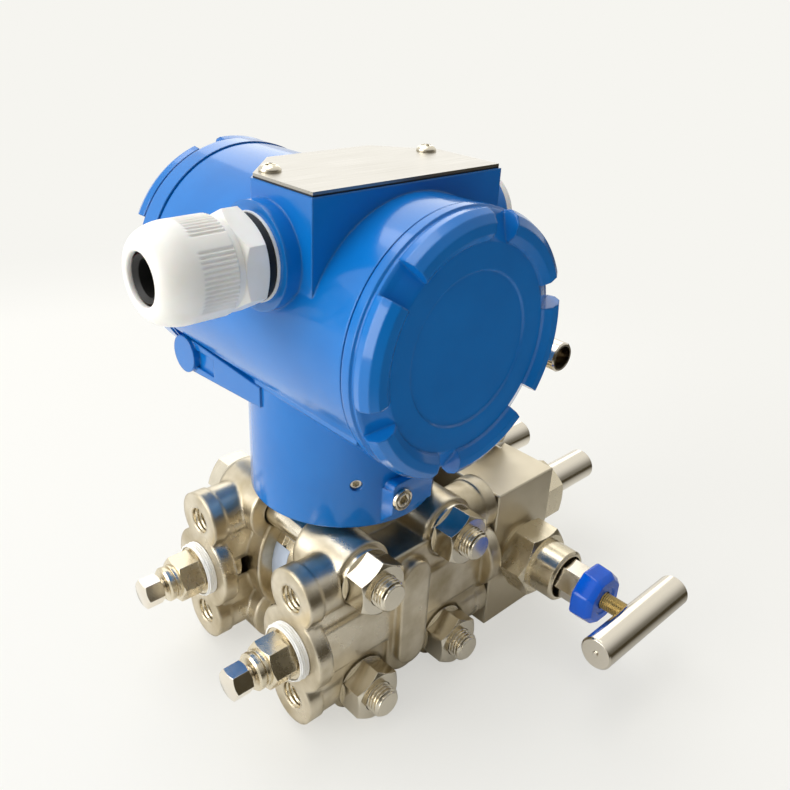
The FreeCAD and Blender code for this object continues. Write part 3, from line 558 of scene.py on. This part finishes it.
def makeGroundScrew():
    rows = [(groundScrew["shank"], -groundScrew["length"]), (groundScrew["shank"], 0.0)]
    rows += groundScrew["profile"]
    rows += [hexRow(groundScrew["socket"], groundScrew[key]) for key in ("socketFrom", "socketTo")]
    mesh = turnedMesh("groundScrew", rows, 96)
    gather("groundScrewTurned", [(mesh, stand(groundScrew["face"], (0, -1, 0), (0, 0, 1)))],
           finishes["plated_steel"], "transmitter", "ground_screw")


capsuleLabel = {
    "radius": 24.06,
    "middle": 43.5,
    "y": (3.0, 13.0),
    "angles": (-6.0, 26.0),
    "steps": 16,
}


def makeCapsuleLabel():
    # small blank foil label bent round the sensor capsule, between the tie bolts
    mesh = bpy.data.meshes.new("capsuleLabel")
    low, high = (math.radians(a) for a in capsuleLabel["angles"])
    points, steps = [], capsuleLabel["steps"]
    for k in range(steps + 1):
        turn = low + (high - low) * k / steps
        x = capsuleLabel["middle"] - capsuleLabel["radius"] * math.cos(turn)
        points += [Vector((x, y, capsuleLabel["radius"] * math.sin(turn))) * mm for y in capsuleLabel["y"]]
    mesh.from_pydata(points, [], [(2 * k, 2 * k + 2, 2 * k + 3, 2 * k + 1) for k in range(steps)])
    gather("capsuleLabelBlank", [(mesh, Matrix())], finishes["label_foil"], "transmitter")


ventPlugs = {
    "y": 27.0,
    "reach": 11.0,         # shank inside the port
    "shank": 9.0,
    "bore": 2.7,
    "from": 3.0,           # past the tape
    "flats": 14.5,
    "hex": 9.0,
    "collar": 6.3,
    "collarEdge": 0.6,
    "groove": 5.6,
    "grooveSteps": (1.1, 1.35, 1.85, 2.1),
    "collarLong": 4.0,
}


def makeVentPlug(name, y):
    start, flats, collar, groove = (ventPlugs[key] for key in ("from", "flats", "collar", "groove"))
    end = start + ventPlugs["hex"]
    top = end + ventPlugs["collarLong"]
    rows = [(ventPlugs["bore"], -ventPlugs["reach"]), (ventPlugs["shank"], -ventPlugs["reach"]),
            (ventPlugs["shank"], start), (flats / 2 * hexagons["face"], start), hexRow(flats, start, 1),
            hexRow(flats, end, -1), (flats / 2 * 0.96, end), (collar, end)]
    rows += [(radius, end + step)
             for radius, step in zip((collar, groove, groove, collar), ventPlugs["grooveSteps"])]
    rows += [(collar, top - ventPlugs["collarEdge"]), (collar - ventPlugs["collarEdge"], top),
             (ventPlugs["bore"], top), (ventPlugs["bore"], -ventPlugs["reach"])]
    mesh = turnedMesh("ventPlug", rows, 96, inward=True)
    mesh.flip_normals()
    gather(name + "VentTurned", [(mesh, stand((0, y, 0), (-1, 0, 0), (0, 0, 1)))],
           finishes["machined_stainless"], "transmitter", name + "_vent_plug")


bleedScrews = {
    "shank": 2.6,
    "from": 14.0,          # inside the collar of the vent plug
    "neckFrom": 16.0,
    "neck": 3.0,
    "neckRoot": 2.45,
    "neckLong": 1.6,
    "pitch": 0.8,
    "flats": 9.5,
    "length": 6.5,
}


def makeBleedScrew(name, y):
    flats, neckFrom = bleedScrews["flats"], bleedScrews["neckFrom"]
    start = neckFrom + bleedScrews["neckLong"]
    end = start + bleedScrews["length"]
    rows = [(bleedScrews["shank"], bleedScrews["from"]), (bleedScrews["shank"], neckFrom - 0.1)]
    rows += threadRows(neckFrom + 0.02, start - 0.1, bleedScrews["neckRoot"], bleedScrews["neck"],
                       bleedScrews["pitch"])
    rows += [(flats / 2 * hexagons["face"], start), hexRow(flats, start, 1), hexRow(flats, end, -1),
             (flats / 2 * 0.97, end)]
    mesh = turnedMesh("bleedScrew", rows, 96)
    gather(name + "BleedTurned", [(mesh, stand((0, y, 0), (-1, 0, 0), (0, 0, 1)))],
           finishes["polished_stainless"], name + "_bleed_screw", name + "_bleed_screw")


# each valve stands on its seat; the balancing one is shorter
valves = {
    "front_valve": {"seat": (104.3, -37.0, -4.0), "axis": (0, -1, 0), "bar": (1, 0, 0),
                    "cap": 32.5, "out": 54.2},
    "rear_valve": {"seat": (104.3, 37.0, -4.0), "axis": (0, 1, 0), "bar": (1, 0, 0),
                   "cap": 32.5, "out": 54.2},
    "balance_valve": {"seat": (110.85, 0.0, 29.5), "axis": (0.5, 0, 0.866025), "bar": (0, 1, 0),
                      "cap": 24.0, "out": 43.3},
}
dustCap = {
    "radius": 11.0,
    "height": 8.5,
    "neckHole": 5.15,
    "stemHole": 3.5,
    "web": 2.0,            # closed end round the stem
    "sides": 8,
    "flatness": 0.065,
    # inward, upward and share of the flats
    "profile": [(0.3, 0.15, 1.0), (0.0, 0.6, 1.0), (0.0, 1.2, 1.0), (0.3, 6.1, 1.0), (0.5, 6.6, 1.0),
                (1.9, 8.1, 0.9), (2.3, 8.5, 0.8)],
    "rim": 1.1,
    "flat": 3.2,
    "dish": (2.2, 1.6, 0.5),
}


def makeDustCap(name, valve):
    sector = math.tau / dustCap["sides"]

    def sided(radius, height, share):
        def point(angle):
            flat = radius * (1 - dustCap["flatness"] * share)
            flat /= math.cos((angle + sector / 2) % sector - sector / 2)
            return min(radius, flat), height
        return point
    size, tall, neck, hole = (dustCap[key] for key in ("radius", "height", "neckHole", "stemHole"))
    dishOut, dishIn, dishDeep = dustCap["dish"]
    rows = [(neck, 0.0), (size - dustCap["rim"], 0.0)]
    rows += [sided(size - inward, height, share) for inward, height, share in dustCap["profile"]]
    rows += [(size - dustCap["flat"], tall), (hole + dishOut, tall), (hole + dishIn, tall - dishDeep),
             (hole, tall - dishDeep), (hole, tall - dustCap["web"]), (neck, tall - dustCap["web"]),
             (neck, 0.0)]
    mesh = turnedMesh("dustCap", rows, 128, inward=True)
    mesh.flip_normals()
    seat = Vector(valve["seat"]) + Vector(valve["axis"]) * valve["cap"]
    place = stand(seat, valve["axis"], valve["bar"])
    gather(name + "CapMoulded", [(mesh, place)], finishes["blue_plastic"], "transmitter", name + "_dust_cap")


stem = {
    "crest": 3.2,
    "root": 2.98,
    "pitch": 0.8,
    "tip": 1.2,
    "cone": 3.0,
    "point": 13.0,         # below the seat
    "plainFrom": 4.0,      # under the middle of the bar
    "above": 1.9,
}


def makeStem(name, valve):
    crest = stem["crest"]
    capTop = stem["point"] + valve["cap"] + dustCap["height"]
    middle = stem["point"] + valve["out"]
    rows = [(stem["tip"], 0.0), (crest, stem["cone"]), (crest, capTop - 2.0)]
    rows += threadRows(capTop - 1.9, middle - stem["plainFrom"], stem["root"], crest, stem["pitch"])
    rows += [(crest, middle - stem["plainFrom"] + 0.1), (crest, middle + stem["above"])]
    mesh = turnedMesh("valveStem", rows, 48)
    start = Vector(valve["seat"]) - Vector(valve["axis"]) * stem["point"]
    place = stand(start, valve["axis"], valve["bar"])
    gather(name + "StemThreaded", [(mesh, place)], finishes["brass_stem"], name + "_stem", name + "_stem")


makeBolts()
makeTappedHoles()
makeGlandNut()
makePlateScrews()
makeTape()
makeGroundScrew()
makeCapsuleLabel()
for name, y in (("front", -ventPlugs["y"]), ("rear", ventPlugs["y"])):
    makeVentPlug(name, y)
    makeBleedScrew(name, y)
for name, valve in valves.items():
    makeDustCap(name, valve)
    makeStem(name, valve)
print("threaded and moulded pieces made")


studio = {
    "floor": "#F6F5F0",
    "floorZ": -34.5,
    "floorReach": 6000.0,
    "sweepFrom": 160.0,    # the card fades into the even backdrop between these, mm
    "sweepTo": 560.0,
    "sweepLeast": 0.6,
    "skyFront": (0.06, 0.05, 0.03, 1.0),
    "skySide": (0.27, 0.265, 0.25, 1.0),
    "skyTop": (0.62, 0.62, 0.62, 1.0),
    "front": (0.45, -0.89, 0.0),
    "roomFrom": 60.0,      # towards the unlit room in front, as shiny pieces see it, mm
    "roomTo": 260.0,
    "lamps": {
        # place, aim and width in mm, power in watts
        "leftSoftbox": ((-1800, 500, 600), (40, 0, 80), 1500, 29.0),
        "topSoftbox": ((-150, 500, 1500), (60, 0, 0), 1200, 12.0),
        "backSoftbox": ((950, 1150, 900), (60, 0, 60), 1300, 4.6),
    },
}


def makeFloor():
    reach = studio["floorReach"] * mm
    mesh = bpy.data.meshes.new("tableTop")
    corners = [(-reach, -reach), (reach, -reach), (reach, reach), (-reach, reach)]
    mesh.from_pydata([(x, y, studio["floorZ"] * mm) for x, y in corners], [], [(0, 1, 2, 3)])
    floor = bpy.data.objects.new("tableTop", mesh)
    bpy.context.scene.collection.objects.link(floor)
    # matt white card: nothing but soft shadows
    material, tree, shader, place = newMaterial("mattWhiteCard")
    setSockets(shader, {"Base Color": linearColor(studio["floor"]), "Roughness": 0.9,
                        "Specular IOR Level": 0.1})
    away = addNode(tree, "ShaderNodeVectorMath", {"operation": "LENGTH"}, {0: (place, "Object")})
    fade = addNode(tree, "ShaderNodeMapRange", {"interpolation_type": "SMOOTHSTEP"},
                   {"Value": (away, "Value"), "From Min": studio["sweepFrom"] * mm,
                    "From Max": studio["sweepTo"] * mm})
    path = addNode(tree, "ShaderNodeLightPath")
    least = addNode(tree, "ShaderNodeMath", {"operation": "MAXIMUM"},
                    {0: (fade, "Result"), 1: studio["sweepLeast"]})
    mirrored = addNode(tree, "ShaderNodeMath", {"operation": "MULTIPLY"},
                       {0: (fade, "Result"), 1: (path, "Is Glossy Ray")})
    seen = addNode(tree, "ShaderNodeMath", {"operation": "MULTIPLY_ADD", "use_clamp": True},
                   {0: (least, "Value"), 1: (path, "Is Camera Ray"), 2: (mirrored, "Value")})
    even = addNode(tree, "ShaderNodeEmission", links={"Color": linearColor(studio["floor"])})
    sweep = addNode(tree, "ShaderNodeMixShader", links={0: (seen, "Value"), 1: (shader, "BSDF"),
                                                        2: (even, "Emission")})
    # what is shiny sees the card give way to a dim room in front, where nothing is lit
    forward = addNode(tree, "ShaderNodeVectorMath", {"operation": "DOT_PRODUCT"},
                      {0: (place, "Object"), 1: studio["front"]})
    room = addNode(tree, "ShaderNodeMapRange", {"interpolation_type": "SMOOTHSTEP"},
                   {"Value": (forward, "Value"), "From Min": studio["roomFrom"] * mm,
                    "From Max": studio["roomTo"] * mm})
    dim = addNode(tree, "ShaderNodeMath", {"operation": "MULTIPLY"},
                  {0: (room, "Result"), 1: (path, "Is Glossy Ray")})
    dark = addNode(tree, "ShaderNodeEmission", links={"Color": studio["skyFront"]})
    whole = addNode(tree, "ShaderNodeMixShader", links={0: (dim, "Value"), 1: (sweep, "Shader"),
                                                        2: (dark, "Emission")})
    output = next(node for node in tree.nodes if node.bl_idname == "ShaderNodeOutputMaterial")
    tree.links.new(whole.outputs["Shader"], output.inputs["Surface"])
    mesh.materials.append(material)


def makeWorld():
    world = bpy.data.worlds.new("studio")
    bpy.context.scene.world = world
    world.use_nodes = True
    tree = world.node_tree
    tree.nodes.clear()
    place = addNode(tree, "ShaderNodeTexCoord")
    apart = addNode(tree, "ShaderNodeSeparateXYZ", links={"Vector": (place, "Generated")})
    depth = addNode(tree, "ShaderNodeMapRange", {"interpolation_type": "SMOOTHSTEP"},
                    {"Value": (apart, "Y"), "From Min": -0.9, "From Max": 0.1})
    around = addNode(tree, "ShaderNodeMix", {"data_type": "RGBA"},
                     {"Factor": (depth, "Result"), 6: studio["skyFront"], 7: studio["skySide"]})
    rise = addNode(tree, "ShaderNodeMapRange", {"interpolation_type": "SMOOTHSTEP"},
                   {"Value": (apart, "Z"), "From Min": 0.15, "From Max": 0.9})
    sky = addNode(tree, "ShaderNodeMix", {"data_type": "RGBA"},
                  {"Factor": (rise, "Result"), 6: (around, 2), 7: studio["skyTop"]})
    path = addNode(tree, "ShaderNodeLightPath")
    behind = addNode(tree, "ShaderNodeMath", {"operation": "MULTIPLY"},
                     {0: (depth, "Result"), 1: (path, "Is Glossy Ray")})
    shown = addNode(tree, "ShaderNodeMix", {"data_type": "RGBA"},
                    {"Factor": (behind, "Value"), 6: (sky, 2), 7: linearColor(studio["floor"])})
    light = addNode(tree, "ShaderNodeBackground", links={"Color": (shown, 2)})
    white = addNode(tree, "ShaderNodeBackground", links={"Color": linearColor(studio["floor"])})
    both = addNode(tree, "ShaderNodeMixShader", links={0: (path, "Is Camera Ray"), 1: (light, "Background"),
                                                       2: (white, "Background")})
    addNode(tree, "ShaderNodeOutputWorld", links={"Surface": (both, "Shader")})


def makeLamps():
    for name, (place, aim, width, power) in studio["lamps"].items():
        lamp = bpy.data.lights.new(name, "AREA")
        lamp.shape = "SQUARE"
        lamp.size = width * mm
        lamp.energy = power
        holder = bpy.data.objects.new(name, lamp)
        holder.location = Vector(place) * mm
        holder.rotation_euler = (Vector(aim) - Vector(place)).to_track_quat("-Z", "Y").to_euler()
        bpy.context.scene.collection.objects.link(holder)


view = {
    "aim": (203.72, 139.87, -38.21),
    "azimuth": -44.37,
    "elevation": 26.84,
    "roll": 3.06,
    "distance": 516.23,
    "lens": 37.29,
    "shift": 0.0012,
}


def makeCamera():
    turn, lift, roll = (math.radians(view[key]) for key in ("azimuth", "elevation", "roll"))
    back = Vector((math.sin(turn) * math.cos(lift), -math.cos(turn) * math.cos(lift), math.sin(lift)))
    right = Vector((math.cos(turn), math.sin(turn), 0))
    up = back.cross(right)
    leaned = right * math.cos(roll) + up * math.sin(roll)
    camera = bpy.data.cameras.new("camera")
    camera.sensor_width = 36.0
    camera.lens = view["lens"]
    camera.shift_x = view["shift"]
    camera.clip_start = 0.01
    holder = bpy.data.objects.new("camera", camera)
    grid = Matrix((leaned, back.cross(leaned), back)).transposed().to_4x4()
    holder.matrix_world = Matrix.Translation((Vector(view["aim"]) + back * view["distance"]) * mm) @ grid
    bpy.context.scene.collection.objects.link(holder)
    bpy.context.scene.camera = holder


makeFloor()
makeWorld()
makeLamps()
makeCamera()
bpy.context.scene.view_settings.view_transform = "Standard"
print("studio ready")
